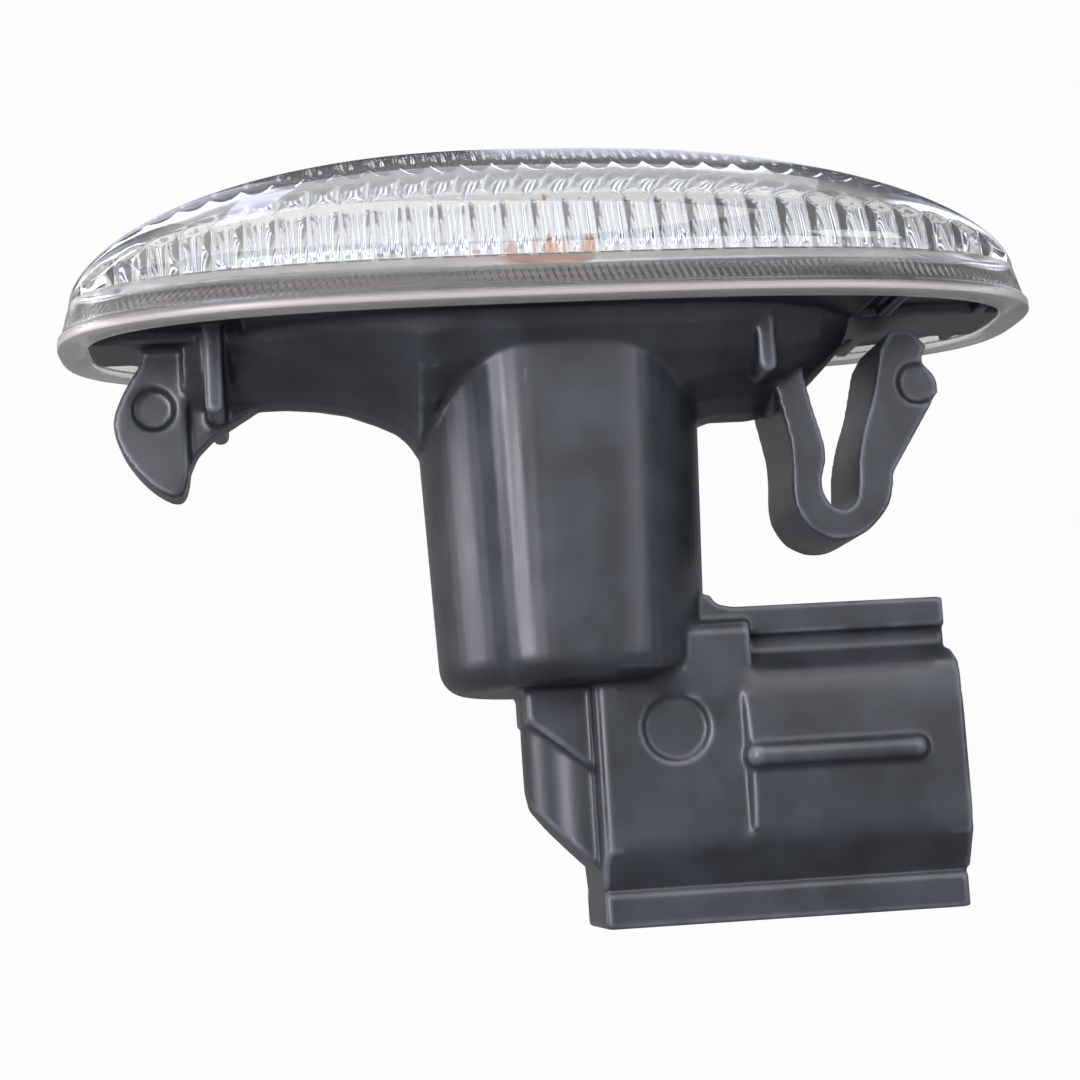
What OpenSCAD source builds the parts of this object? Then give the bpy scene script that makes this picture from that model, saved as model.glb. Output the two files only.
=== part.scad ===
// Side repeater lamp for a car wing: a fluted clear lens welded on a one-piece housing that carries
// a hook, a spring clip, the bulb tube and the connector shroud, with a reflector, a wedge bulb and
// two contact strips inside.
// X runs along the lens, Z out of the car through the lens, and Z = 0 is the rear face of the rim.

/* [Lens] */
// Length of the lens over its rim
lens_len = 98.5; // [92:0.5:112]
// Width of the lens over its rim
lens_w = 39; // [38:0.5:46]
// Height of the lens above the rear face of its rim
lens_h = 19.5; // [17:0.1:23]
// Share by which the dome stands fuller at the hook end and flatter at the clip end
dome_tilt = 0.05; // [0:0.005:0.08]
// Thickness of the lens wall
lens_wall = 2.2; // [1.8:0.1:2.6]
// Width of the rear face of the rim
rim_w = 2.8; // [2.3:0.1:3]
// Height of the plain band round the rim
band_h = 1.2; // [1:0.1:2]
// Step from the plain band in to the skirt
band_step = 0.2; // [0.1:0.05:0.5]
// How far the skirt leans in between the band and the dome
skirt_lean = 1; // [0.5:0.1:1.4]
// Height of the skirt's top edge above the rim's rear face
skirt_h = 4.4; // [3.8:0.1:6]
// Pitch of the flutes inside the dome
flute_pitch = 3; // [2.4:0.1:4]
// Depth of the flutes
flute_depth = 0.6; // [0.3:0.05:0.8]

/* [Back plate] */
// Height of the weld seat inside the lens, where the plate's front face bears
seat_h = 2.7; // [2.4:0.1:3.4]
// Height of the plate's raised middle above the rim's rear face
deck_z = 0.2; // [0.1:0.05:0.5]
// Depth of the low strips at both ends of the plate
strip_depth = 1; // [0.5:0.1:1.2]
// Half-length of the raised middle
deck_half = 31; // [29:0.5:34]
// Width of the tongue that runs along the low strips
tongue_w = 10; // [8:0.5:12]
// Thickness of the ribs across the low strips at the clip end
cross_rib_t = 1.2; // [0.8:0.1:1.6]

/* [Hull] */
// Thickness of the hull and bulb tube walls
wall = 1.8; // [1.4:0.1:2.2]
// Half-width of the hull at the bulb tube
hull_half_w = 14.4; // [13.8:0.1:16]
// Width of the guide beads
bead_w = 1.8; // [1.2:0.1:2.4]

/* [Bulb tube] */
// Distance of the bulb tube's axis from the middle of the lens
tube_x = 0.2; // [-1:0.1:2]
// Radius of the bulb tube at the plate
tube_r = 14.6; // [14:0.1:15.2]
// Draft of the bulb tube
tube_draft = 2.2; // [1:0.1:3]
// Depth of the bulb tube's bottom below the rim
tube_depth = 35.7; // [34:0.5:38]
// Fillet round the bulb tube's bottom
tube_fillet = 2.6; // [1.5:0.1:3.5]
// Half-width of the tube across its front and rear flats, at the plate
tube_flat = 13; // [12.4:0.1:13.6]

/* [Hook and clip] */
// Width of the spring clip
clip_w = 12.5; // [10:0.5:14]
// Width of the hook
hook_w = 5; // [4:0.5:8]
// Depth of the round ejector recesses
eject_depth = 0.5; // [0.3:0.1:0.8]
// Radius of the round recesses in the hook and the clip
eject_r = 2.2; // [1.8:0.1:2.3]

/* [Connector] */
// Distance from the middle of the lens to the connector's mouth
mouth_x = 37; // [33:0.5:42]
// Length of the solid block behind the shroud
block_len = 14; // [13:0.5:16]
// Depth of the connector's lower face below the rim
conn_bottom = 59.3; // [58.5:0.1:61]
// Half-width of the shroud across its bulged sides
shroud_half_w = 9.1; // [8.8:0.1:10]
// Wall of the shroud
shroud_wall = 2; // [1.6:0.1:2.4]
// How far the shroud's walls stand past its rails at the mouth
mouth_lip = 0.4; // [0.2:0.1:1]
// Distance between the middles of the two blades
blade_pitch = 6.4; // [6:0.1:7.2]
// Height of a blade
blade_w = 2.8; // [2.2:0.1:3.2]
// Thickness of the contact strip
blade_t = 0.8; // [0.6:0.1:0.9]
// Length of the blades inside the shroud
blade_len = 11; // [8:0.5:13]
// Gap round a contact strip in its slot
strip_gap = 0.1; // [0.05:0.05:0.15]

/* [Bulb] */
// Diameter of the bulb
bulb_d = 10.2; // [9.6:0.1:10.6]
// Length of the bulb over its wedge base
bulb_len = 26.8; // [25:0.2:28]
// Height of the bulb's tip above the rim's rear face
bulb_tip = 11.5; // [9:0.5:12.5]
// Width of the wedge base
wedge_w = 9.4; // [9:0.1:9.8]
// Thickness of the wedge base
wedge_t = 2.4; // [2.2:0.1:2.6]
// Height of the wedge base
wedge_h = 7.2; // [6.5:0.1:8]
// Wall of the bulb
glass_wall = 0.6; // [0.5:0.05:0.8]
// Diameter of the lead wires
lead_d = 0.5; // [0.4:0.05:0.6]

/* [Hidden] */
$fn = 64;
skin = 0.01;

// Superellipse power of the lens outline, and the power that crowns the dome
oval_power = 2.9;
crown_power = 0.56;
half_len = lens_len / 2;
half_w = lens_w / 2;
weld_gap = 0.1;

function signed_pow(v, e) = sign(v) * pow(abs(v), e);
function oval(a, b, steps = 96) = [for (i = [0 : steps - 1]) let (t = 360 * i / steps)
    [a * signed_pow(cos(t), 2 / oval_power), b * signed_pow(sin(t), 2 / oval_power)]];
function oval_y(x, a, b) = b * pow(max(0, 1 - pow(abs(x) / a, oval_power)), 1 / oval_power);
function oval_rho(x, y, a, b) =
    pow(pow(abs(x) / a, oval_power) + pow(abs(y) / b, oval_power), 1 / oval_power);
function crown(rho) = pow(max(0, 1 - rho * rho), crown_power);

// Smooth curve through a run of points, with straight ends
function between(a, b, c, d, t) = 0.5 * (2 * b + (c - a) * t + (2 * a - 5 * b + 4 * c - d) * t * t
    + (3 * b - a - 3 * c + d) * t * t * t);
function at(p, i) = p[max(0, min(len(p) - 1, i))];
function smooth_run(p, n = 4) = concat([for (i = [0 : len(p) - 2], j = [0 : n - 1])
    between(at(p, i - 1), p[i], p[i + 1], at(p, i + 2), j / n)], [p[len(p) - 1]]);

// Solid skinned over a row of loops with equal numbers of points, closed by flat ends
module skinned(loops) {
    n = len(loops[0]);
    m = len(loops);
    polyhedron(
        points = [for (loop = loops, p = loop) p],
        faces = concat(
            [[for (i = [0 : n - 1]) i]],
            [for (k = [0 : m - 2], i = [0 : n - 1])
                each [[k * n + i, (k + 1) * n + i, (k + 1) * n + (i + 1) % n],
                    [k * n + i, (k + 1) * n + (i + 1) % n, k * n + (i + 1) % n]]],
            [[for (i = [n - 1 : -1 : 0]) (m - 1) * n + i]]));
}

// An outline in X and Z, given as points, made into a slab of the given width about Y = 0
module slab_y(outline, width) {
    rotate([90, 0, 0])
        translate([0, 0, -width / 2])
            linear_extrude(width) polygon(outline);
}

// A half outline in Y and Z, mirrored and run along X
module run_x(half, x0, x1) {
    both = concat(half, [for (i = [len(half) - 1 : -1 : 0]) [-half[i][0], half[i][1]]]);
    translate([x0, 0, 0])
        rotate([90, 0, 90])
            linear_extrude(x1 - x0) polygon(both);
}

// Lens: the space under the dome is skinned across the lens, so that the flutes follow it
arch_steps = 14;
dome_a = half_len - band_step - skirt_lean;
dome_b = half_w - band_step - skirt_lean;
flutes_per_side = floor(0.93 * (dome_a - lens_wall) / flute_pitch);
// Rows of flutes as shares of the dome's height: one on the flank and one over the crown
flank_row = [0.04, 0.62];
crown_row = [0.74, 1.3];

function row_fade(h, row) = h <= row[0] || h >= row[1] ? 0
    : min(1, (h - row[0]) / 0.07, (row[1] - h) / 0.07);
function flute(x, h) = flute_depth * abs(sin(180 * x / flute_pitch))
    * max(row_fade(h, flank_row), row_fade(h, crown_row));

// One cross-section at x of a dome with half-axes a and b, sprung from z = base, with a vertical foot
function dome_loop(x, a, b, base, full_rise, foot, fluted) =
    let (y = oval_y(x, a, b), rise = full_rise * (1 - dome_tilt * x / a), top = rise * crown(abs(x) / a))
    concat([[x, y, foot]],
        [for (i = [0 : arch_steps]) let (
            angle = 180 * i / arch_steps,
            yy = y * cos(angle),
            h = rise * crown(min(1, oval_rho(x, yy, a, b))),
            cut = fluted && abs(x) < flutes_per_side * flute_pitch ? flute(x, h / rise) : 0,
            away = norm([yy / b, h / rise]) + skin)
            [x, yy - cut * yy / b / away, base + h - cut * h / rise / away]],
        [[x, -y, foot]]);

function end_shares() = [0.9985, 0.993, 0.983, 0.965];
function dome_stations(a, step) =
    let (n = floor(0.95 * a / step))
    concat([for (s = end_shares()) -a * s], [for (i = [-n : n]) i * step],
        [for (i = [3 : -1 : 0]) a * end_shares()[i]]);

module dome(a, b, base, rise, foot, step, fluted = false) {
    skinned([for (x = dome_stations(a, step)) dome_loop(x, a, b, base, rise, foot, fluted)]);
}

// Leaning skirt between the plain band and the dome
module skirt() {
    a = half_len - band_step;
    b = half_w - band_step;
    translate([0, 0, band_h / 2])
        linear_extrude(skirt_h - band_h / 2, scale = [dome_a / a, dome_b / b], slices = 1)
            polygon(oval(a, b));
}

module lens() {
    color([0.9, 0.92, 0.95, 0.45])
        difference() {
            union() {
                linear_extrude(band_h) polygon(oval(half_len, half_w));
                skirt();
                dome(dome_a, dome_b, skirt_h, lens_h - skirt_h, skirt_h - 0.5, 4);
            }
            translate([0, 0, -skin])
                linear_extrude(seat_h + skin) polygon(oval(half_len - rim_w, half_w - rim_w));
            dome(dome_a - lens_wall, dome_b - lens_wall, skirt_h, lens_h - skirt_h - lens_wall,
                seat_h / 2, flute_pitch / 4, fluted = true);
        }
}

// Housing: depth of the hull's keel and half-width of the hull along X
plate_a = half_len - rim_w - weld_gap;
plate_b = half_w - rim_w - weld_gap;
hull_keel = [[-37, 7.5], [-34, 7], [-30, 6.3], [-25.5, 6.2], [-20, 7.2], [-16, 9.2], [-14.8, 10.4],
    [-14, 11.8], [-12.6, 11.8], [-11, 10.6], [12, 10.6], [16, 9.3], [20, 9.3], [23.5, 8.6], [27, 5.5],
    [30, 2.4]];
hull_plan = [[-37, 0.28], [-33.5, 0.44], [-28, 0.68], [-20, 0.9], [-10, 1], [10, 1], [20, 0.92],
    [26, 0.7], [30, 0.42]];
hull_x = [-37, -35, -33, -30, -27, -24, -21, -18, -16, -14.8, -14, -12.6, -11, -6, 0, 6, 12, 16, 20, 23,
    26, 28, 30];
flank_power = 1.55;
flank_steps = 12;

function hull_loop(x, inset, top) =
    let (w = hull_half_w * lookup(x, hull_plan) - inset, d = lookup(x, hull_keel) - inset)
    concat([[x, -w, top]],
        [for (i = [0 : flank_steps]) let (t = 180 * i / flank_steps)
            [x, -w * signed_pow(cos(t), 2 / flank_power), deck_z - d * pow(sin(t), 2 / flank_power)]],
        [[x, w, top]]);

// Stations of the hull between its ends, drawn in by the inset
function hull_stations(inset) = let (x0 = hull_x[0] + inset, x1 = hull_x[len(hull_x) - 1] - inset)
    concat([x0], [for (x = hull_x) if (x > x0 + 0.5 && x < x1 - 0.5) x], [x1]);

module hull_body(inset = 0, top = seat_h / 2) {
    skinned([for (x = hull_stations(inset)) hull_loop(x, inset, top)]);
}

// Bulb tube: a drafted tube with flats at its front and rear that round off softly into its sides, and
// with a filleted bottom
tube_r_bottom = tube_r - tube_depth * tan(tube_draft);
bore_r = tube_r_bottom - wall - 1;
tube_floor = 3.4;
tube_blend = 22;
flat_draft = 1;
fillet_steps = 5;

function tube_reach(t, r, flat) =
    pow(pow(r, -tube_blend) + pow(abs(sin(t)) / flat, tube_blend), -1 / tube_blend);
function tube_loop(z, inset) =
    let (r = tube_r + z * tan(tube_draft) - inset, flat = tube_flat + z * tan(flat_draft) - inset)
    [for (i = [0 : $fn - 1]) let (t = 360 * i / $fn, reach = tube_reach(t, r, flat))
        [reach * cos(t), reach * sin(t), z]];

module tube_outside() {
    translate([tube_x, 0, 0])
        skinned(concat(
            [for (i = [0 : fillet_steps]) let (a = 90 * i / fillet_steps)
                tube_loop(-tube_depth + tube_fillet * (1 - cos(a)), tube_fillet * (1 - sin(a)))],
            [tube_loop(seat_h / 2, 0)]));
}

// Hook that goes behind the edge of the panel
hook_curve = [[-41.4, -1.6], [-42.7, -3.6], [-44, -6.7], [-43.6, -9.4], [-42.2, -11.8],
    [-40.4, -13.7], [-38.5, -14.8], [-37.5, -14.5], [-37, -13.1], [-36.8, -11.6]];
hook_eject = [-40.1, -5.9];
module hook() {
    slab_y(concat([[-40.6, seat_h / 2]], smooth_run(hook_curve), [[-36.7, seat_h / 2]]), hook_w);
    web = [[-37, -12.4], [-36, -10.3], [-34.4, -8.7], [-32.6, -7.6], [-30, -6], [-30, -2], [-37, -2]];
    slab_y(web, hook_w - 1.5);
}

// Spring clip: a folded leaf that starts at the hull and ends free, just behind the plate
clip_outer = [[21.4, -5], [22.1, -8.7], [22.8, -12.4], [22.9, -14.7], [22.7, -16.8], [22.9, -19.1],
    [24.4, -21.5], [27.1, -22.6], [29.9, -21.9], [32.2, -19.6], [32.9, -17.7], [33.1, -16.1]];
clip_barb = [[38, -8.6], [38.5, -7.9], [38.6, -7.1], [38.3, -6.2], [36.9, -4.5], [37.6, -3.3],
    [36.2, -1.5], [34, -1.5]];
clip_inner = [[32.8, -3.4], [31.6, -8.2], [30.6, -10.9], [29.8, -13.8], [29.5, -16.2], [29.4, -17.6],
    [29, -18.8], [28, -19.5], [26.6, -19.1], [25.8, -17.6], [25.8, -16.2], [26.3, -14.4],
    [26.2, -12.5], [25.3, -8.8], [24.6, -5]];
clip_eject = [36.4, -7];
module clip() {
    slab_y(concat([[21.9, 0]], smooth_run(clip_outer, 3), clip_barb, smooth_run(clip_inner, 3),
        [[24.6, 0]]), clip_w);
}

module ejector_recess(x, z, r, half_width) {
    for (side = [-1, 1])
        translate([x, side * half_width, z])
            rotate([90, 0, 0])
                cylinder(r = r, h = 2 * eject_depth, center = true);
}

// Guide beads down the hull's flanks, as [X, half-width over the beads, depth]
beads = [[-33.9, 8.5, 7.8], [19.8, 12.6, 6.6]];
module guide_bead(x, half_width, depth) {
    r = bead_w / 2;
    slab_y(concat([[x - r, seat_h / 2]],
        [for (i = [0 : 8]) [x - r * cos(180 * i / 8), -depth + r - r * sin(180 * i / 8)]],
        [[x + r, seat_h / 2]]), 2 * half_width);
}

// Connector: half outlines in Y and Z of the shroud and of the block behind it
rail_half = 6;
shroud_top = 28.7;
crown_z = 35.6;
face_bottom = 51.9;
groove_z = 55.8;
bottom_rail = [[shroud_half_w - 2.5, -groove_z + 0.4], [shroud_half_w - 2.9, -groove_z],
    [shroud_half_w - 2.2, -groove_z - 0.3], [shroud_half_w - 2.2, -conn_bottom]];
shroud_half = concat(
    [[rail_half, -shroud_top], [rail_half, -shroud_top - 2.8], [rail_half - 0.8, -shroud_top - 3.1],
    [rail_half - 0.8, -crown_z + 2.2]],
    smooth_run([[rail_half + 0.2, -crown_z + 1.6], [shroud_half_w - 1, -crown_z + 0.5],
        [shroud_half_w - 0.4, -crown_z - 0.8], [shroud_half_w, -crown_z - 6],
        [shroud_half_w, -face_bottom + 4], [shroud_half_w - 0.3, -face_bottom]], 3),
    bottom_rail);
lip_half = [for (p = shroud_half) if (p[1] < -crown_z + 1.7 && p[1] > -groove_z + 0.1) p];
block_half = concat(
    [[rail_half, -shroud_top], [rail_half, -shroud_top - 1.4], [shroud_half_w - 1.2, -shroud_top - 1.8],
    [shroud_half_w - 0.6, -shroud_top - 2.6], [shroud_half_w - 0.6, -face_bottom]],
    bottom_rail);
block_x = 1.8;
shroud_x = block_x + block_len;
block_eject = [8.9, -40.4, 3.3];
blade_z = -44;
mid_rib_r = 1.15;
mid_rib_start = 15.4;
mid_rib_end = mouth_x - 3.6;
cavity_back = shroud_x + 2;
cavity_half = concat(
    [[shroud_half_w - shroud_wall - 1.4, -crown_z + 0.6], [shroud_half_w - shroud_wall, -crown_z - 1.2],
    [shroud_half_w - shroud_wall, -face_bottom], [shroud_half_w - shroud_wall - 1.2, -face_bottom - 1.3]]);

module connector_outside() {
    corner = 1;
    intersection() {
        run_x(block_half, block_x - 0.7, shroud_x + 1);
        linear_extrude(4 * conn_bottom, center = true)
            polygon(concat(
                [for (i = [0 : 6]) [block_x - 0.7 + corner - corner * cos(15 * i),
                    shroud_half_w - 0.6 - corner + corner * sin(15 * i)]],
                [[shroud_x + 2, shroud_half_w - 0.6], [shroud_x + 2, -shroud_half_w + 0.6]],
                [for (i = [6 : -1 : 0]) [block_x - 0.7 + corner - corner * cos(15 * i),
                    -shroud_half_w + 0.6 + corner - corner * sin(15 * i)]]));
    }
    run_x(shroud_half, shroud_x, mouth_x);
    run_x(lip_half, mouth_x - 1, mouth_x + mouth_lip);
    for (side = [-1, 1])
        translate([0, side * (shroud_half_w - 0.1), blade_z + 0.4]) {
            translate([mid_rib_start + mid_rib_r, 0, 0]) {
                rotate([0, 90, 0])
                    cylinder(r = mid_rib_r, h = mid_rib_end - mid_rib_start - 2 * mid_rib_r);
                sphere(mid_rib_r);
            }
            translate([mid_rib_end - mid_rib_r, 0, 0]) sphere(mid_rib_r);
        }
    // Gusset column under the tube, with its folded web
    lobe_r = 5;
    intersection() {
        slab_y([[-9.2, -tube_depth + 1], [-8.2, -tube_depth - 0.3], [-6.6, -36.8], [-5.7, -38.2],
            [-5.4, -41.8], [-5.3, -45.6], [-4.8, -47.4], [-3.2, -49.2], [0.2, -52.7], [2, -54.4],
            [4, -54.4], [4, -tube_depth + 1]], 2 * lobe_r);
        hull() {
            translate([-5.4 + lobe_r, 0, -conn_bottom]) cylinder(r = lobe_r, h = 26);
            translate([4, 0, -conn_bottom]) cylinder(r = lobe_r, h = 26);
        }
    }
    slab_y([[-5.2, -38.9], [block_x, -44.5], [block_x, -tube_depth + 1], [-5.2, -tube_depth + 1]],
        2 * lobe_r + 1.2);
    // Fillet between the tube and the shroud's top rail
    slab_y([[tube_r_bottom - 1, -27.2], [13.6, -27.4], [13.9, -28], [14.4, -28.4], [15.2, -28.6],
        [16, -shroud_top], [16, -shroud_top - 1], [tube_r_bottom - 1, -shroud_top - 1]], 2 * rail_half);
}

// Post at the bottom of the tube that holds the wedge base and the contact springs
post_len = 14;
post_w = 10.6;
base_z = bulb_tip - bulb_len;
post_top = base_z + wedge_h - 1.4;
wedge_gap = 0.15;
contact_gap = 0.05;
spring_w = 6;

module holder_space() {
    translate([tube_x, 0, 0]) {
        difference() {
            translate([0, 0, -tube_depth + tube_floor])
                cylinder(r = bore_r, h = tube_depth - tube_floor + seat_h + 1);
            translate([-post_len / 2, -post_w / 2, -tube_depth])
                cube([post_len, post_w, post_top + tube_depth]);
        }
        translate([-wedge_w / 2 - wedge_gap, -wedge_t / 2 - wedge_gap, base_z - lead_d - wedge_gap])
            cube([wedge_w + 2 * wedge_gap, wedge_t + 2 * wedge_gap, wedge_h + lead_d]);
    }
}

// Back plate with low strips either side of the tongue at both ends, ribbed across at the clip end
cross_ribs = [33.8, 43.6];
module plate() {
    difference() {
        translate([0, 0, deck_z])
            linear_extrude(seat_h - deck_z) polygon(oval(plate_a, plate_b));
        for (end = [-1, 1], side = [-1, 1])
            translate([end * (deck_half + half_len) / 2, side * (tongue_w / 2 + half_w) / 2, deck_z])
                cube([half_len - deck_half, half_w - tongue_w / 2, 2 * strip_depth], center = true);
    }
    for (x = cross_ribs) {
        rib_w = 2 * oval_y(x + cross_rib_t, plate_a, plate_b);
        translate([x - cross_rib_t / 2, -rib_w / 2, deck_z])
            cube([cross_rib_t, rib_w, strip_depth + 0.5]);
    }
}

module housing() {
    color([0.23, 0.245, 0.27])
        difference() {
            union() {
                plate();
                hull_body();
                tube_outside();
                hook();
                clip();
                connector_outside();
                for (bead = beads)
                    guide_bead(bead[0], bead[1], bead[2]);
            }
            hull_body(inset = wall, top = seat_h + 1);
            holder_space();
            for (side = [-1, 1])
                contact_strip(side, strip_gap);
            run_x(cavity_half, cavity_back, mouth_x + mouth_lip + 1);
            ejector_recess(hook_eject[0], hook_eject[1], eject_r, hook_w / 2);
            ejector_recess(clip_eject[0], clip_eject[1], eject_r, clip_w / 2);
            ejector_recess(block_eject[0], block_eject[1], block_eject[2], shroud_half_w - 0.6);
        }
}

// Contact strip: a blade in the shroud, a riser inside the block and a bowed spring at the bulb
riser_w = 3;
spring_foot = base_z - 4;
spring_reach = wedge_t / 2 + lead_d + contact_gap;

function spring_line() = let (y = blade_pitch / 2) [[y, spring_foot], [y, base_z + 0.5],
    [spring_reach + blade_t / 2 + 0.3, base_z + 3.2], [spring_reach + blade_t / 2, base_z + 4.2],
    [spring_reach + blade_t / 2 + 0.3, base_z + 5.2], [spring_reach + blade_t / 2 + 1, base_z + 6.6]];

module contact_strip(side, gap = 0) {
    t = blade_t / 2 + gap;
    x0 = tube_x - riser_w / 2 - gap;
    mirror([0, side < 0 ? 1 : 0, 0]) {
        translate([x0, blade_pitch / 2 - t, blade_z - blade_w / 2 - gap])
            cube([riser_w + 2 * gap, 2 * t, spring_foot - blade_z + blade_w / 2 + 2 * gap]);
        translate([x0, blade_pitch / 2 - t, blade_z - blade_w / 2 - gap])
            cube([cavity_back + (gap > 0 ? 1 : blade_len) - x0, 2 * t, blade_w + 2 * gap]);
        line = spring_line();
        if (gap > 0)
            translate([tube_x - spring_w / 2 - gap, wedge_t / 2, spring_foot])
                cube([spring_w + 2 * gap, blade_pitch / 2 + t - wedge_t / 2, lens_h - spring_foot]);
        else
            translate([tube_x + spring_w / 2, 0, 0])
                rotate([90, 0, -90])
                    linear_extrude(spring_w)
                        polygon(concat([for (p = line) [-p[0] + t, p[1]]],
                            [for (i = [len(line) - 1 : -1 : 0]) [-line[i][0] - t, line[i][1]]]));
    }
}

module terminal_left() {
    color([0.78, 0.66, 0.4]) contact_strip(-1);
}

module terminal_right() {
    color([0.78, 0.66, 0.4]) contact_strip(1);
}

// Reflector: a bright thin dish that lines the hull, with a round hole for the bulb
dish_wall = 1;
dish_gap = 0.3;
dish_flange = 0.9;
dish_low = 3.6;
bulb_hole_gap = 1.6;
bulb_hole_r = bulb_d / 2 + bulb_hole_gap;

module reflector() {
    a = dome_a - lens_wall - dish_gap;
    b = dome_b - lens_wall - dish_gap;
    color([0.86, 0.87, 0.9])
        difference() {
            union() {
                translate([0, 0, seat_h]) linear_extrude(dish_flange) polygon(oval(a, b));
                intersection() {
                    hull_body(inset = wall + dish_gap, top = seat_h + dish_flange / 2);
                    translate([0, 0, -dish_low])
                        linear_extrude(lens_h) polygon(oval(a, b));
                }
            }
            hull_body(inset = wall + dish_gap + dish_wall, top = seat_h + dish_flange + 1);
            translate([tube_x, 0, -tube_depth]) cylinder(r = bulb_hole_r, h = tube_depth + lens_h);
        }
}

// Wedge bulb: blown glass with a pinched flat base, a filament and two folded lead wires
bulb_r = bulb_d / 2;
lead_x = 2.4;
lead_fold = 4.6;
filament_z = bulb_tip - 8;
filament_r = 0.35;
lead_hole_r = lead_d / 2 + 0.02;

module bulb_glass() {
    shoulder_z = base_z + wedge_h;
    color([0.95, 0.55, 0.15, 0.6])
        translate([tube_x, 0, 0])
            difference() {
                union() {
                    rotate_extrude() {
                        translate([0, shoulder_z + 2]) square([bulb_r, bulb_len - wedge_h - 2 - bulb_r]);
                        intersection() {
                            translate([0, bulb_tip - bulb_r]) circle(bulb_r);
                            translate([0, bulb_tip - bulb_r]) square(bulb_r);
                        }
                        polygon([[0, shoulder_z], [bulb_r - 1.5, shoulder_z], [bulb_r, shoulder_z + 2.01],
                            [0, shoulder_z + 2.01]]);
                    }
                    translate([-wedge_w / 2, -wedge_t / 2, base_z])
                        cube([wedge_w, wedge_t, wedge_h + 0.5]);
                }
                rotate_extrude() {
                    inner = bulb_r - glass_wall;
                    polygon([[0, shoulder_z + 1], [inner - 1.5, shoulder_z + 1],
                        [inner, shoulder_z + 2.5], [inner, bulb_tip - bulb_r], [0, bulb_tip - bulb_r]]);
                    intersection() {
                        translate([0, bulb_tip - bulb_r - skin]) circle(inner);
                        translate([0, bulb_tip - bulb_r - skin]) square(bulb_r);
                    }
                }
                for (side = [-1, 1])
                    translate([side * lead_x, 0, base_z - 1])
                        cylinder(r = lead_hole_r, h = wedge_h + 3, $fn = 24);
            }
}

module bulb_filament() {
    color([0.5, 0.5, 0.52])
        translate([tube_x - lead_x + lead_d / 2, 0, filament_z])
            rotate([0, 90, 0]) cylinder(r = filament_r, h = 2 * lead_x - lead_d, $fn = 24);
}

// Lead wire: down through the pinch, round its lower edge and up one flat side
module bulb_lead(side) {
    r = lead_d / 2;
    out = wedge_t / 2 + r;
    low = base_z - r;
    color([0.75, 0.75, 0.76])
        translate([tube_x + side * lead_x, 0, 0]) {
            translate([0, 0, low]) cylinder(r = r, h = filament_z - low + filament_r, $fn = 24);
            translate([0, 0, low]) sphere(r, $fn = 24);
            translate([0, 0, low]) rotate([side * -90, 0, 0]) cylinder(r = r, h = out, $fn = 24);
            translate([0, side * out, low]) sphere(r, $fn = 24);
            translate([0, side * out, low]) cylinder(r = r, h = lead_fold, $fn = 24);
        }
}

module bulb_lead_left() {
    bulb_lead(-1);
}

module bulb_lead_right() {
    bulb_lead(1);
}

housing();
lens();
reflector();
bulb_glass();
bulb_filament();
bulb_lead_left();
bulb_lead_right();
terminal_left();
terminal_right();
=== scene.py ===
import math

import bmesh
import bpy
import numpy as np
from mathutils import Matrix, Vector


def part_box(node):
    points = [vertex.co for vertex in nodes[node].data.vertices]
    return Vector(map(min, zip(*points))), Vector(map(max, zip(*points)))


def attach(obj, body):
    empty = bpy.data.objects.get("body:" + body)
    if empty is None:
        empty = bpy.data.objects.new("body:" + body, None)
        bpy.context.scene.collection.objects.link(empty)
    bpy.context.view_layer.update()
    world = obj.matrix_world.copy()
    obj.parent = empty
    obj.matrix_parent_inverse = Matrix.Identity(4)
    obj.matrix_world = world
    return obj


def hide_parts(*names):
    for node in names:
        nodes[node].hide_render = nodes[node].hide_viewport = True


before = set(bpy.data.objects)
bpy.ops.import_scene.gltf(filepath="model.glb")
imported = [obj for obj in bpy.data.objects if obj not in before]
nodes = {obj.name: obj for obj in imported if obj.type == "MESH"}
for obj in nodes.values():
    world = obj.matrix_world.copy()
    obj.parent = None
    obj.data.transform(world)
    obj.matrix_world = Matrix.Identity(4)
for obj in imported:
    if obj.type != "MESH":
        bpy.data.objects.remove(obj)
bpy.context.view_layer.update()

# Camera. It stands low and close in front of the lamp, a little to the left of its middle, looks up
# along it and leans by a few degrees. The lens is a short telephoto, so the near rim looms a little.
MM = 0.001
camera_place = (-27.3 * MM, -220 * MM, -50.9 * MM)
camera_yaw = math.radians(6.5)
camera_pitch = math.radians(7.85)
camera_roll = math.radians(-3.58)
focal_pixels = 2215
picture_pixels = 1080
camera_near = 10 * MM
sensor_mm = 36

ahead = Vector((math.sin(camera_yaw) * math.cos(camera_pitch),
                math.cos(camera_yaw) * math.cos(camera_pitch), math.sin(camera_pitch)))
level = Vector((math.cos(camera_yaw), -math.sin(camera_yaw), 0))
upright = level.cross(ahead)
across = math.cos(camera_roll) * level + math.sin(camera_roll) * upright
upward = -math.sin(camera_roll) * level + math.cos(camera_roll) * upright
camera = bpy.data.objects.new("camera", bpy.data.cameras.new("camera"))
camera.data.sensor_width = sensor_mm
camera.data.lens = sensor_mm * focal_pixels / picture_pixels
camera.data.clip_start = camera_near
turned = Matrix((across, upward, -ahead)).transposed().to_4x4()
camera.matrix_world = Matrix.Translation(camera_place) @ turned
bpy.context.scene.collection.objects.link(camera)
bpy.context.scene.camera = camera

# Housing. One injection moulding in dark grey glass-filled polyester: plate, hull, bulb tube, hook,
# spring clip, guide beads and connector shroud. Every edge has the small radius of the mould tool, and
# the hook and the clip hold it in the car's wing.
join_gap = 0.002 * MM
edge_voxel = 0.27 * MM
edge_passes = 5
soft_passes = 90
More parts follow.
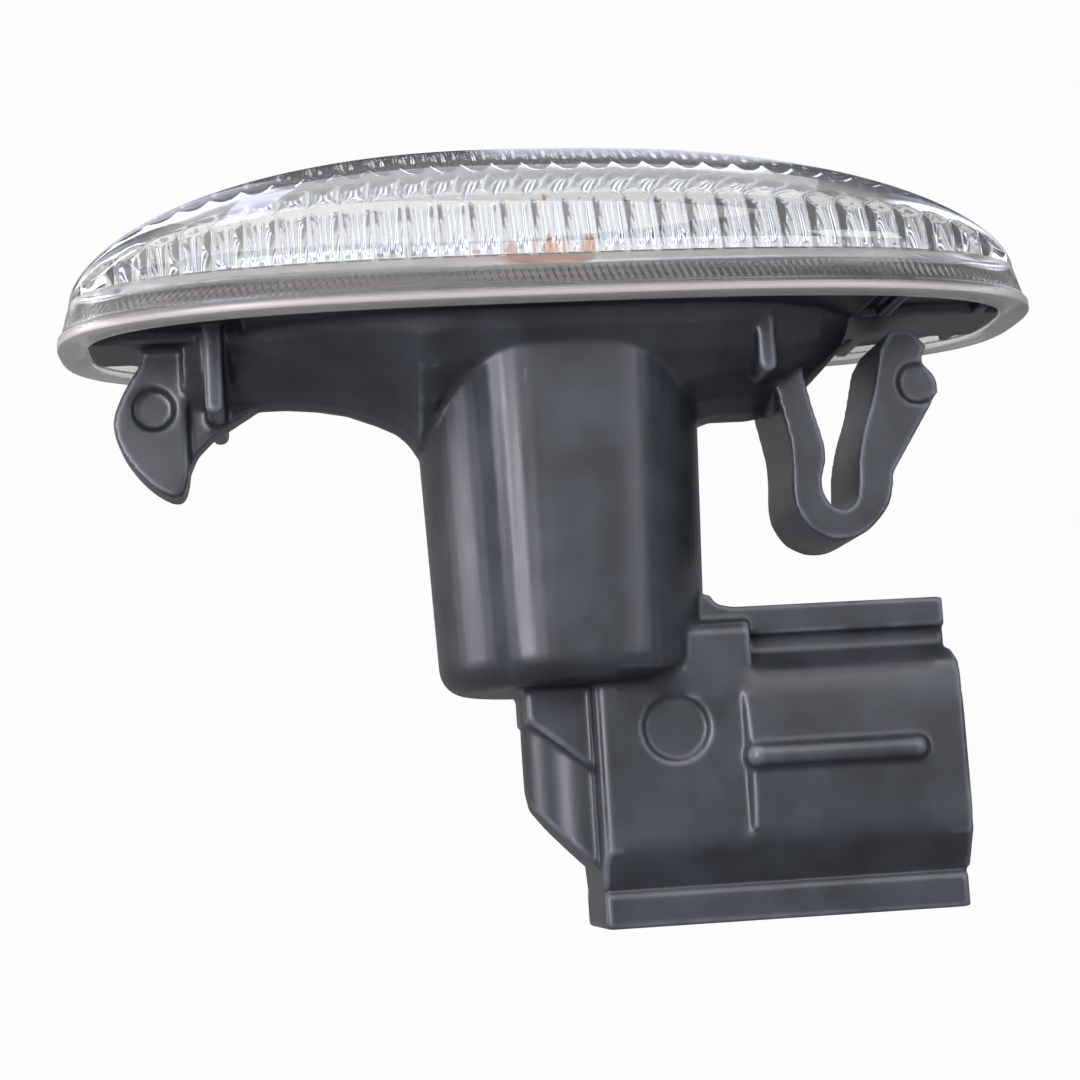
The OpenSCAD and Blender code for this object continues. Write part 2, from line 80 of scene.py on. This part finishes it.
# The long edges of the shroud are softer: their heights, and how far they run along the part
soft_bands = ((-53.4 * MM, -50.4 * MM), (-37.4 * MM, -34.6 * MM))
soft_run = (3 * MM, 35 * MM)
housing_triangles = 190000
# An edge starts to be painted paler, as wear and as a painted highlight, at the first radius, and fully at
# the second
worn_and_highlit_radius = (2.4 * MM, 0.8 * MM)
worn_and_highlit_spread = 3
cloud_size = 6 * MM
grain_size = 0.35 * MM
grain_high = 0.05 * MM


def hex_colour(code):
    """Turns an sRGB hex colour to linear red, green, blue and full alpha."""
    parts = [int(code[i:i + 2], 16) / 255 for i in (1, 3, 5)]
    return (*[v / 12.92 if v <= 0.04045 else ((v + 0.055) / 1.055) ** 2.4 for v in parts], 1)


def add(tree, kind, sockets=None, **settings):
    """Adds a shader node with its settings. Each socket gets a value, or a link from another node."""
    made = tree.nodes.new(kind)
    for name, value in settings.items():
        setattr(made, name, value)
    for name, value in (sockets or {}).items():
        if isinstance(value, bpy.types.NodeSocket):
            tree.links.new(value, made.inputs[name])
        else:
            made.inputs[name].default_value = value
    return made


def start_material(name):
    """Gives a new empty material, its node tree and the coordinates that its patterns are laid on."""
    material = bpy.data.materials.new(name)
    material.use_nodes = True
    material.node_tree.nodes.clear()
    place = add(material.node_tree, "ShaderNodeTexCoord").outputs["Object"]
    return material, material.node_tree, place


def end_material(tree, surface):
    """Links the finished surface to the material's output."""
    add(tree, "ShaderNodeOutputMaterial", {"Surface": surface})


def dress(thing, *materials):
    """Puts the materials on a piece, one for each slot."""
    thing.data.materials.clear()
    for material in materials:
        thing.data.materials.append(material)


def finished_mesh(piece):
    """Gives the mesh that a piece has after its modifiers, and takes the modifiers off."""
    mesh = bpy.data.meshes.new_from_object(piece.evaluated_get(bpy.context.evaluated_depsgraph_get()))
    piece.modifiers.clear()
    return mesh


def rounded_moulding(node, name):
    """Copies a CAD solid with rounded edges, softer ones along the shroud, and keeps it in its box."""
    work = bmesh.new()
    work.from_mesh(nodes[node].data)
    bmesh.ops.remove_doubles(work, verts=work.verts, dist=join_gap)
    mesh = bpy.data.meshes.new(name)
    work.to_mesh(mesh)
    work.free()
    piece = bpy.data.objects.new(name, mesh)
    bpy.context.scene.collection.objects.link(piece)
    remesh = piece.modifiers.new("remesh", "REMESH")
    remesh.mode = "VOXEL"
    remesh.voxel_size = edge_voxel
    piece.data = finished_mesh(piece)
    points = np.empty(3 * len(piece.data.vertices))
    piece.data.vertices.foreach_get("co", points)
    points = points.reshape(-1, 3)
    soft = sum((points[:, 2] > low) & (points[:, 2] < high) for low, high in soft_bands) > 0
    soft &= (points[:, 0] > soft_run[0]) & (points[:, 0] < soft_run[1])
    piece.vertex_groups.new(name="soft").add(np.flatnonzero(soft).tolist(), 1, "REPLACE")
    smooth = piece.modifiers.new("smooth", "SMOOTH")
    smooth.iterations = edge_passes
    soften = piece.modifiers.new("soften", "SMOOTH")
    soften.iterations = soft_passes
    soften.vertex_group = "soft"
    thin = piece.modifiers.new("thin", "DECIMATE")
    thin.ratio = min(1, housing_triangles / (2 * len(piece.data.polygons)))
    final = finished_mesh(piece)
    piece.vertex_groups.clear()
    piece.data = final
    points = np.empty(3 * len(final.vertices))
    final.vertices.foreach_get("co", points)
    low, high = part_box(node)
    final.vertices.foreach_set("co", np.clip(points.reshape(-1, 3), low, high).ravel())
    final.polygons.foreach_set("use_smooth", [True] * len(final.polygons))
    final.update()
    return piece


def mark_worn_and_highlit_edges(mesh):
    """Stores how far each point is on an outer edge, from how sharply the surface bends there, for edges
    painted paler as wear and as a painted highlight.
    """
    count = len(mesh.vertices)
    points = np.empty(3 * count)
    normals = np.empty(3 * count)
    ends = np.empty(2 * len(mesh.edges), int)
    mesh.vertices.foreach_get("co", points)
    mesh.vertices.foreach_get("normal", normals)
    mesh.edges.foreach_get("vertices", ends)
    points, normals, ends = points.reshape(-1, 3), normals.reshape(-1, 3), ends.reshape(-1, 2)
    both = np.concatenate([ends, ends[:, ::-1]])
    reach = points[both[:, 1]] - points[both[:, 0]]
    drop = -(reach * normals[both[:, 0]]).sum(1)
    ways = np.maximum(np.bincount(both[:, 0], minlength=count), 1)
    bend = np.bincount(both[:, 0], 2 * drop / (reach ** 2).sum(1), count) / ways
    for _ in range(worn_and_highlit_spread):
        bend = 0.5 * bend + 0.5 * np.bincount(both[:, 0], bend[both[:, 1]], count) / ways
    # An edge bends across itself but not along itself, so its mean bend is half of 1 / radius
    slight, full = (0.5 / radius for radius in worn_and_highlit_radius)
    share = np.clip((bend - slight) / (full - slight), 0, 1)
    mesh.attributes.new("worn_and_highlit_edge", "FLOAT", "POINT").data.foreach_set("value", share)


housing = rounded_moulding("housing", "housing_moulding")
mark_worn_and_highlit_edges(housing.data)
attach(housing, "root")
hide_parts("housing")

# Polyester with glass fibre, moulded in a spark-eroded tool: a satin skin, a little cloudy where the
# melt cooled unevenly, with a grain too fine for the picture, so it is drawn at 0.35 mm. Its edges are
# painted a little paler: partly rubbed by handling, partly a painted highlight along the rounded edges.
polyester, tree, place = start_material("polyester_moulded")
cloud = add(tree, "ShaderNodeTexNoise", {"Vector": place, "Scale": 1 / cloud_size, "Detail": 3.0})
stain = add(tree, "ShaderNodeMapRange", {"Value": cloud.outputs["Fac"], "From Min": 0.35, "From Max": 0.65})
grain = add(tree, "ShaderNodeTexNoise", {"Vector": place, "Scale": 1 / grain_size, "Detail": 2.0})
tint = add(tree, "ShaderNodeMix", {0: stain.outputs["Result"], 6: hex_colour("#202328"),
                                   7: hex_colour("#2e3137")}, data_type="RGBA")
dull = add(tree, "ShaderNodeMapRange", {"Value": stain.outputs["Result"], "To Min": 0.36, "To Max": 0.42})
bump = add(tree, "ShaderNodeBump", {"Height": grain.outputs["Fac"], "Strength": 0.15,
                                    "Distance": grain_high})
edge = add(tree, "ShaderNodeAttribute", attribute_name="worn_and_highlit_edge")
scuff_and_sheen = add(tree, "ShaderNodeMapRange", {"Value": stain.outputs["Result"], "To Min": 0.15, "To Max": 0.8})
rubbed_and_highlit = add(tree, "ShaderNodeMath", {0: edge.outputs["Fac"], 1: scuff_and_sheen.outputs["Result"]},
             operation="MULTIPLY")
# Bent edges are painted paler here: partly handling wear, partly a painted highlight along the edges
worn_and_highlit = add(tree, "ShaderNodeMix", {0: rubbed_and_highlit.outputs[0], 6: tint.outputs[2], 7: hex_colour("#62666e")},
           data_type="RGBA")
skin = add(tree, "ShaderNodeBsdfPrincipled", {"Base Color": worn_and_highlit.outputs[2], "IOR": 1.52,
                                              "Roughness": dull.outputs["Result"],
                                              "Normal": bump.outputs["Normal"]})
end_material(tree, skin.outputs["BSDF"])
dress(housing, polyester)

# Reflector. A thin moulded dish that lines the hull, vacuum metallised, with a hole for the bulb. It
# drops in from the lens side, before the lens is welded on.
facet_pitch = 1.6 * MM
facet_high = 0.3 * MM
metallised, tree, place = start_material("aluminium_vacuum_metallised")
# Aluminium evaporated on a moulding: a mirror, broken into bright and dark bars by upright facets
facet = add(tree, "ShaderNodeTexWave", {"Vector": place, "Scale": math.pi / (10 * facet_pitch),
                                        "Distortion": 0.6, "Detail": 1.0}, bands_direction="X")
bump = add(tree, "ShaderNodeBump", {"Height": facet.outputs["Fac"], "Strength": 1.0,
                                    "Distance": facet_high})
skin = add(tree, "ShaderNodeBsdfPrincipled", {"Base Color": hex_colour("#e3e7ee"), "Metallic": 1.0,
                                              "Roughness": 0.14, "Normal": bump.outputs["Normal"]})
end_material(tree, skin.outputs["BSDF"])
dress(nodes["reflector"], metallised)

# Bulb. A capless wedge bulb of amber glass with a tungsten filament and two leads of nickel wire that
# fold up over the wedge. It is pushed into the holder post in the tube.
melt_streak = 5 * MM
coil_pitch = 0.3 * MM
die_scratch = 0.4 * MM
amber, tree, place = start_material("glass_amber_blown")
# Blown soda glass, coloured in the melt: clear and glossy, deeper where it is thick
depth = add(tree, "ShaderNodeTexNoise", {"Vector": place, "Scale": 1 / melt_streak, "Detail": 1.0})
tint = add(tree, "ShaderNodeMix", {0: depth.outputs["Fac"], 6: hex_colour("#f3c3a3"),
                                   7: hex_colour("#fadcc8")}, data_type="RGBA")
skin = add(tree, "ShaderNodeBsdfPrincipled", {"Base Color": tint.outputs[2], "Transmission Weight": 1.0,
                                              "Roughness": 0.03, "IOR": 1.5})
end_material(tree, skin.outputs["BSDF"])
dress(nodes["bulb_glass"], amber)

tungsten, tree, place = start_material("tungsten_coiled")
# Drawn tungsten wire, wound to a coil: the turns show as dark and pale rings. Real turns are under
# 0.1 mm apart and wouldn't show, so they are drawn 0.3 mm apart.
turn = add(tree, "ShaderNodeTexWave", {"Vector": place, "Scale": math.pi / (10 * coil_pitch)},
           bands_direction="X")
tint = add(tree, "ShaderNodeMix", {0: turn.outputs["Fac"], 6: hex_colour("#56534f"),
                                   7: hex_colour("#9a958c")}, data_type="RGBA")
skin = add(tree, "ShaderNodeBsdfPrincipled", {"Base Color": tint.outputs[2], "Metallic": 1.0,
                                              "Roughness": 0.35})
end_material(tree, skin.outputs["BSDF"])
dress(nodes["bulb_filament"], tungsten)

nickel, tree, place = start_material("nickel_wire_drawn")
# Drawn nickel wire: bright, with duller patches from the die. Real ones are finer and wouldn't show,
# so they are drawn at 0.4 mm.
streak = add(tree, "ShaderNodeTexNoise", {"Vector": place, "Scale": 1 / die_scratch, "Detail": 2.0})
dull = add(tree, "ShaderNodeMapRange", {"Value": streak.outputs["Fac"], "To Min": 0.2, "To Max": 0.4})
skin = add(tree, "ShaderNodeBsdfPrincipled", {"Base Color": hex_colour("#c3bfb6"), "Metallic": 1.0,
                                              "Roughness": dull.outputs["Result"]})
end_material(tree, skin.outputs["BSDF"])
dress(nodes["bulb_lead_left"], nickel)
dress(nodes["bulb_lead_right"], nickel)

# Terminals. Two strips stamped and bent from brass, pressed into the shroud. Each has a spring at the
# bulb's end and a blade in the connector.
dull_spot = 1.5 * MM
brass, tree, place = start_material("brass_stamped")
# Rolled brass strip, stamped: a soft yellow shine with duller spots where it was handled
cloud = add(tree, "ShaderNodeTexNoise", {"Vector": place, "Scale": 1 / dull_spot, "Detail": 3.0})
tint = add(tree, "ShaderNodeMix", {0: cloud.outputs["Fac"], 6: hex_colour("#b08d4f"),
                                   7: hex_colour("#d2b273")}, data_type="RGBA")
dull = add(tree, "ShaderNodeMapRange", {"Value": cloud.outputs["Fac"], "To Min": 0.24, "To Max": 0.42})
skin = add(tree, "ShaderNodeBsdfPrincipled", {"Base Color": tint.outputs[2], "Metallic": 1.0,
                                              "Roughness": dull.outputs["Result"]})
end_material(tree, skin.outputs["BSDF"])
dress(nodes["terminal_left"], brass)
dress(nodes["terminal_right"], brass)

# Lens. One clear acrylic moulding, smooth outside, with flutes inside that spread the light: a
# row around its flanks and a row over its crown. Its skirt is serrated and is welded to the plate.
lens_high = 19.5 * MM
skirt_high = 4.4 * MM
dome_half = (48.05 * MM, 18.3 * MM)
foot_half = (49.05 * MM, 19.3 * MM)
band_half = (49.25 * MM, 19.5 * MM)
pocket_half = (46.45 * MM, 16.7 * MM)
pocket_high = 2.7 * MM
foot_high = 0.6 * MM
wall = 2.2 * MM
oval_power = 2.9
crown_power = 0.56
# Share by which the dome stands fuller at the hook's end and flatter at the clip's end
dome_tilt = 0.05
flute_pitch = 3 * MM
flute_depth = 0.6 * MM
crown_flute_depth = 0.8 * MM
# Rows of flutes, as shares of the way from the middle of the lens to its side, and how they fade in
flank_row = 0.843
crown_row = 0.66
flank_taper = 0.03
crown_taper = 0.12
foot_line = 0.99999
column_step = 0.25 * MM
even_run = 0.92
end_columns = 44
tip_share = 0.004
outer_rows = 49
inner_rows = 97
serration_pitch = 0.75 * MM
serration_depth = 0.08 * MM
serration_low = 1.2 * MM
serration_top = 2.9 * MM
serration_fade = 0.3 * MM
loop_points = 1500
trace_points = 20 * loop_points
# Heights up the rounded band, in mm, and how far it stands out there
band_profile = ((0, -0.1), (0.12, 0), (0.7, 0), (0.95, -0.06), (1.15, -0.19))
wall_low = 1.35 * MM
wall_loops = 14
flow_size = 14 * MM
flow_high = 0.15 * MM
creep_size = 4 * MM
# Heights over which the rim's pale colour, partly painted light, gives way to the skirt's grey
rim_weld_and_lit_fade = (0.4 * MM, 1 * MM)
clear_ends = (36 * MM, 46 * MM)


def column_places(half):
    """Spaces the columns along the lens evenly, and closer together where its ends turn round."""
    a, b = half
    count = round(even_run * a / column_step)
    even = column_step * np.arange(-count, count + 1)
    side = b * (1 - (even[-1] / a) ** oval_power) ** (1 / oval_power)
    y = side * np.linspace(1, tip_share, end_columns + 1)[1:]
    ends = a * (1 - (y / b) ** oval_power) ** (1 / oval_power)
    return np.concatenate([-ends[::-1], even, ends])


def oval_side(x, half):
    """Gives the half width of an oval at each place along it."""
    a, b = half
    return b * np.maximum(1 - (np.abs(x) / a) ** oval_power, 0) ** (1 / oval_power)


def dome(half, base, rise, rows, flutes):
    """Makes the points of one face of the shell, columns along it and rows across it."""
    a, b = half
    share = np.sin(np.linspace(-math.pi / 2, math.pi / 2, rows))[None, :]
    x = column_places(half)[:, None] + 0 * share
    y = oval_side(x, half) * share
    edge = np.clip((np.abs(x) / a) ** oval_power + (np.abs(y) / b) ** oval_power, 0, 1) ** (1 / oval_power)
    bow = (1 - dome_tilt * x / a) * (1 - edge ** 2) ** crown_power
    z = base + rise * bow
    if not flutes:
        return np.stack([x, y, z], 2)
    share = np.abs(share) + 0 * x
    flank = np.clip((share - flank_row) / flank_taper, 0, 1) * (share < foot_line)
    crown = np.clip((crown_row - share) / crown_taper, 0, 1)
    rib = np.abs(np.sin(math.pi * x / flute_pitch))
    depth = flute_depth * np.maximum(rib - 1 + flank, 0) + crown_flute_depth * np.maximum(rib - 1 + crown, 0)
    slope_x = np.gradient(z, axis=0) / np.maximum(np.gradient(x, axis=0), 1e-9)
    slope_y = np.gradient(z, axis=1) / np.maximum(np.gradient(y, axis=1), 1e-9)
    size = np.sqrt(1 + slope_x ** 2 + slope_y ** 2)
    return np.stack([x + depth * slope_x / size, y + depth * slope_y / size, z - depth / size], 2)


def oval_loop(half, wave=0):
    """Makes one loop of points round an oval, evenly spaced, with the serrations if it is waved."""
    turn = np.linspace(0, 2 * math.pi, trace_points, endpoint=False)
    c, s = np.cos(turn), np.sin(turn)
    ring = np.stack([half[0] * np.sign(c) * np.abs(c) ** (2 / oval_power),
                     half[1] * np.sign(s) * np.abs(s) ** (2 / oval_power)], 1)
    step = np.linalg.norm(np.roll(ring, -1, 0) - ring, axis=1)
    run = np.concatenate([[0], np.cumsum(step)])
    want = np.linspace(0, run[-1], loop_points, endpoint=False)
    closed = np.vstack([ring, ring[:1]])
    even = np.stack([np.interp(want, run, closed[:, k]) for k in range(2)], 1)
    ahead_step = np.roll(even, -1, 0) - np.roll(even, 1, 0)
    out = np.stack([ahead_step[:, 1], -ahead_step[:, 0]], 1)
    out /= np.linalg.norm(out, axis=1)[:, None]
    count = round(run[-1] / serration_pitch)
    cut = wave * (0.5 - 0.5 * np.cos(2 * math.pi * count * want / run[-1]))
    return even - out * cut[:, None]


def blend_half(low, high, share):
    """Gives the half sizes part of the way from one oval to another."""
    return tuple(low[k] + (high[k] - low[k]) * share for k in range(2))


def skirt_outline():
    """Lists the loops up the outside of the skirt: the rounded band, then the leaning, serrated wall."""
    loops = [(z * MM, tuple(h + step * MM for h in band_half), 0) for z, step in band_profile]
    for z in np.linspace(wall_low, skirt_high, wall_loops):
        share = (z - foot_high) / (skirt_high - foot_high)
        fade = min(1, max(0, (serration_top - z) / serration_fade))
        fade *= min(1, (z - serration_low) / serration_fade)
        loops.append((z, blend_half(foot_half, dome_half, share), serration_depth * fade))
    return loops


def lens_shell():
    """Joins the two faces of the dome, the serrated skirt and the foot to the lens."""
    points, faces, slots = [], [], []

    def sheet(grid, outward):
        """Adds a grid of points as one smooth face."""
        start = sum(len(p) for p in points)
        columns, rows = grid.shape[:2]
        points.append(grid.reshape(-1, 3))
        first = (np.arange(columns - 1)[:, None] * rows + np.arange(rows - 1)[None, :]).ravel() + start
        quad = np.stack([first, first + rows, first + rows + 1, first + 1], 1)
        faces.append(quad if outward else quad[:, ::-1])
        slots.append(np.zeros(len(quad), int))

    def band(loops, slot):
        """Adds the faces that join each loop of points to the next."""
        start = sum(len(p) for p in points)
        for loop, z in loops:
            points.append(np.column_stack([loop, np.full(len(loop), z)]))
        step = np.arange(loop_points)
        onward = (step + 1) % loop_points
        for k in range(len(loops) - 1):
            low, high = start + k * loop_points, start + (k + 1) * loop_points
            faces.append(np.stack([low + step, low + onward, high + onward, high + step], 1))
            slots.append(np.full(loop_points, slot, int))

    sheet(dome(dome_half, skirt_high, lens_high - skirt_high, outer_rows, False), True)
    inside = tuple(h - wall for h in dome_half)
    sheet(dome(inside, skirt_high, lens_high - wall - skirt_high, inner_rows, True), False)
    outline = [(oval_loop(half, wave), z) for z, half, wave in skirt_outline()]
    band([(oval_loop(pocket_half), 0.0)] + outline, 1)
    band([(oval_loop(inside), skirt_high), (oval_loop(inside), pocket_high),
          (oval_loop(pocket_half), pocket_high), (oval_loop(pocket_half), 0.0)], 0)
    return np.clip(np.vstack(points), *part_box("lens")), np.vstack(faces), np.concatenate(slots)


shell_points, shell_faces, shell_slots = lens_shell()
mesh = bpy.data.meshes.new("lens_moulding")
mesh.from_pydata(shell_points.tolist(), [], shell_faces.tolist())
mesh.polygons.foreach_set("use_smooth", [True] * len(mesh.polygons))
mesh.update()
lens = bpy.data.objects.new("lens_moulding", mesh)
bpy.context.scene.collection.objects.link(lens)
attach(lens, "root")
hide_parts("lens")

clear, tree, place = start_material("acrylic_clear_moulded")
# Clear acrylic, moulded in a polished tool: sharp reflections and a faint flow ripple
flow = add(tree, "ShaderNodeTexNoise", {"Vector": place, "Scale": 1 / flow_size, "Detail": 1.0})
bump = add(tree, "ShaderNodeBump", {"Height": flow.outputs["Fac"], "Strength": 0.15, "Distance": flow_high})
skin = add(tree, "ShaderNodeBsdfPrincipled", {"Base Color": hex_colour("#f0f0ee"), "Roughness": 0.04,
                                              "Transmission Weight": 0.94, "IOR": 1.49,
                                              "Normal": bump.outputs["Normal"]})
end_material(tree, skin.outputs["BSDF"])

milky, tree, place = start_material("acrylic_welded_skirt")
# The serrated skirt, welded by vibration: grey and milky in level streaks where the melt has crept
# behind it, clearer at the two ends, and paler along the rounded rim, partly from the milky weld and
# partly as painted light that stands in for light shining down through the rim
streaks = add(tree, "ShaderNodeVectorMath", {0: place, 1: (1, 1, 5)}, operation="MULTIPLY")
creep = add(tree, "ShaderNodeTexNoise", {"Vector": streaks.outputs["Vector"], "Scale": 1 / creep_size,
                                         "Detail": 2.0})
split = add(tree, "ShaderNodeSeparateXYZ", {0: place})
rise = add(tree, "ShaderNodeMapRange", {"Value": split.outputs["Z"], "From Min": rim_weld_and_lit_fade[0],
                                        "From Max": rim_weld_and_lit_fade[1]})
along = add(tree, "ShaderNodeMath", {0: split.outputs["X"]}, operation="ABSOLUTE")
ends = add(tree, "ShaderNodeMapRange", {"Value": along.outputs[0], "From Min": clear_ends[0],
                                        "From Max": clear_ends[1]})
wall_tint = add(tree, "ShaderNodeMix", {0: creep.outputs["Fac"], 6: hex_colour("#7f7b78"),
                                        7: hex_colour("#b3b0ac")}, data_type="RGBA")
cleared = add(tree, "ShaderNodeMix", {0: ends.outputs["Result"], 6: wall_tint.outputs[2],
                                      7: hex_colour("#dddad6")}, data_type="RGBA")
# The rim's pale colour is partly the milky weld and partly painted light shining down through the rim
tint = add(tree, "ShaderNodeMix", {0: rise.outputs["Result"], 6: hex_colour("#e0dbd4"),
                                   7: cleared.outputs[2]}, data_type="RGBA")
seep = add(tree, "ShaderNodeMapRange", {"Value": rise.outputs["Result"], "To Min": 0.5, "To Max": 0.86})
dull = add(tree, "ShaderNodeMapRange", {"Value": rise.outputs["Result"], "To Min": 0.36, "To Max": 0.2})
skin = add(tree, "ShaderNodeBsdfPrincipled", {"Base Color": tint.outputs[2], "IOR": 1.49,
                                              "Roughness": dull.outputs["Result"],
                                              "Transmission Weight": seep.outputs["Result"]})
end_material(tree, skin.outputs["BSDF"])
dress(lens, clear, milky)
lens.data.polygons.foreach_set("material_index", shell_slots.tolist())

# Studio. The part hangs over white paper, in front of a white sweep with tall windows above it and a
# grey room round the camera. A large soft box hangs high in front, and smaller ones and strips draw the
# streaks on the tube and the pale wedges on the lens.
floor_low = -75 * MM
floor_half = 1.5
fibre_size = 2 * MM
floor_share = 0.08
white_level = 0.98
room_level = 0.3
glint_share = 0.15
# Where the room's parts begin and end, as shares of a direction's length
sweep_begins = (0.0, 0.3)
sill = (0.3, 0.4)
ceiling_begins = (0.72, 0.84)
sunny_side = (-0.2, -0.35)
mullion_pitch = 0.36
mullion_edge = (0.42, 0.6)
sky_light = (2.2, 2.4, 2.9, 1)
sunny_light = (4, 4.1, 4.3, 1)
white = (1, 1, 1, 1)

floor_mesh = bpy.data.meshes.new("floor")
corners = [(x * floor_half, y * floor_half, floor_low) for x, y in ((-1, -1), (1, -1), (1, 1), (-1, 1))]
floor_mesh.from_pydata(corners, [], [(0, 1, 2, 3)])
floor = bpy.data.objects.new("floor", floor_mesh)
bpy.context.scene.collection.objects.link(floor)
paper, tree, place = start_material("paper_matt")
# Matt background paper with faint fibres: the camera sees it as plain white with a weak shadow, and
# metal and glass see a little of that white
fibre = add(tree, "ShaderNodeTexNoise", {"Vector": place, "Scale": 1 / fibre_size, "Detail": 2.0})
tint = add(tree, "ShaderNodeMix", {0: fibre.outputs["Fac"], 6: hex_colour("#6c6c6c"),
                                   7: hex_colour("#747474")}, data_type="RGBA")
sheet_skin = add(tree, "ShaderNodeBsdfDiffuse", {"Color": tint.outputs[2]})
glow = add(tree, "ShaderNodeEmission", {"Color": white, "Strength": 1.0})
rays = add(tree, "ShaderNodeLightPath")
bounced = add(tree, "ShaderNodeMath", {0: rays.outputs["Is Glossy Ray"],
                                       1: rays.outputs["Is Transmission Ray"]}, operation="MAXIMUM")
part = add(tree, "ShaderNodeMath", {0: bounced.outputs[0], 1: floor_share}, operation="MULTIPLY")
direct = add(tree, "ShaderNodeMath", {0: rays.outputs["Is Camera Ray"], 1: white_level},
             operation="MULTIPLY")
share = add(tree, "ShaderNodeMath", {0: part.outputs[0], 1: direct.outputs[0]}, operation="MAXIMUM")
paper_mix = add(tree, "ShaderNodeMixShader", {0: share.outputs[0], 1: sheet_skin.outputs[0],
                                              2: glow.outputs[0]})
end_material(tree, paper_mix.outputs[0])
dress(floor, paper)

world = bpy.data.worlds.new("studio")
bpy.context.scene.world = world
world.use_nodes = True
tree = world.node_tree
tree.nodes.clear()
look = add(tree, "ShaderNodeTexCoord").outputs["Generated"]
split = add(tree, "ShaderNodeSeparateXYZ", {0: look})
far_side, above, overhead, sunny = (
    add(tree, "ShaderNodeMapRange", {"Value": split.outputs[axis], "From Min": begin, "From Max": end})
    for axis, (begin, end) in (("Y", sweep_begins), ("Z", sill), ("Z", ceiling_begins), ("X", sunny_side)))
bay = add(tree, "ShaderNodeTexWave", {"Vector": look, "Scale": math.pi / (10 * mullion_pitch)},
          bands_direction="X")
pane = add(tree, "ShaderNodeMapRange", {"Value": bay.outputs["Fac"], "From Min": mullion_edge[0],
                                        "From Max": mullion_edge[1]})
sky = add(tree, "ShaderNodeMix", {0: sunny.outputs["Result"], 6: sky_light, 7: sunny_light},
          data_type="RGBA")
panes = add(tree, "ShaderNodeMix", {0: pane.outputs["Result"], 6: hex_colour("#3c465a"),
                                    7: sky.outputs[2]}, data_type="RGBA")
sweep = add(tree, "ShaderNodeMix", {0: above.outputs["Result"], 6: white, 7: panes.outputs[2]},
            data_type="RGBA")
walls = add(tree, "ShaderNodeMix", {0: far_side.outputs["Result"], 6: hex_colour("#868e9b"),
                                    7: sweep.outputs[2]}, data_type="RGBA")
room = add(tree, "ShaderNodeMix", {0: overhead.outputs["Result"], 6: walls.outputs[2],
                                   7: hex_colour("#a09a95")}, data_type="RGBA")
rays = add(tree, "ShaderNodeLightPath")
backdrop = add(tree, "ShaderNodeMix", {0: rays.outputs["Is Camera Ray"], 6: room.outputs[2], 7: white},
               data_type="RGBA")
glint = add(tree, "ShaderNodeMath", {0: rays.outputs["Is Glossy Ray"], 1: glint_share},
            operation="MULTIPLY")
through = add(tree, "ShaderNodeMath", {0: rays.outputs["Is Transmission Ray"], 1: glint.outputs[0]},
              operation="MAXIMUM")
seen = add(tree, "ShaderNodeMath", {0: rays.outputs["Is Camera Ray"], 1: through.outputs[0]},
           operation="MAXIMUM")
dim = add(tree, "ShaderNodeMapRange", {"Value": seen.outputs[0], "To Min": room_level,
                                       "To Max": white_level})
air = add(tree, "ShaderNodeBackground", {"Color": backdrop.outputs[2], "Strength": dim.outputs["Result"]})
add(tree, "ShaderNodeOutputWorld", {"Surface": air.outputs[0]})


def soft_box(name, place, target, size, watts, colour, mirrored=True):
    """Adds a lamp that points at a place on the part. Glass doesn't show it, gloss does if mirrored."""
    lamp = bpy.data.lights.new(name, "AREA")
    lamp.shape = "RECTANGLE"
    lamp.size, lamp.size_y = size
    lamp.energy = watts
    lamp.color = hex_colour(colour)[:3]
    thing = bpy.data.objects.new(name, lamp)
    thing.location = place
    thing.visible_transmission = False
    thing.visible_glossy = mirrored
    thing.rotation_euler = (Vector(target) - Vector(place)).to_track_quat("-Z", "Y").to_euler()
    bpy.context.scene.collection.objects.link(thing)


soft_box("soft_box_key", (-0.3, -0.5, 0.95), (0, 0, 0), (1.4, 0.8), 11.5, "#fffaf4")
soft_box("soft_box_top", (0, 0.1, 0.8), (0, 0, 0), (0.7, 0.5), 2.2, "#eef3ff")
soft_box("soft_box_back", (0.2, 0.8, 0.85), (0, 0, 0), (1.3, 0.8), 10, "#f6f8ff", False)
soft_box("soft_box_right", (0.19, -0.66, 0.3), (0, 0, -0.04), (0.42, 0.2), 1.25, "#f8f8ff")
soft_box("strip_front", (-0.29, -0.58, 0.03), (0, 0, -0.02), (0.16, 0.3), 4.2, "#f6f4ff")
soft_box("strip_right", (0.4, -0.55, 0.04), (0, 0, -0.03), (0.05, 0.3), 1, "#f6f4ff")
soft_box("strip_side", (-0.68, 0.04, 0), (0, 0, -0.02), (0.2, 0.3), 2.4, "#f6f4ff")
soft_box("strip_end", (-0.57, 0.1, 0.48), (0, 0, 0), (0.05, 0.35), 0.55, "#f6f4ff")
soft_box("window_left", (-0.195, -0.65, 0.32), (0, 0, 0), (0.26, 0.13), 0.6, "#f4fff4")
soft_box("window_right", (0.416, -0.462, 0.42), (0, 0, 0), (0.2, 0.1), 0.35, "#f4fff4")
soft_box("window_blue", (-0.205, 0.05, 0.76), (0, 0, 0), (0.4, 0.08), 0.6, "#c8d2ff")

bpy.context.scene.view_settings.view_transform = "Standard"
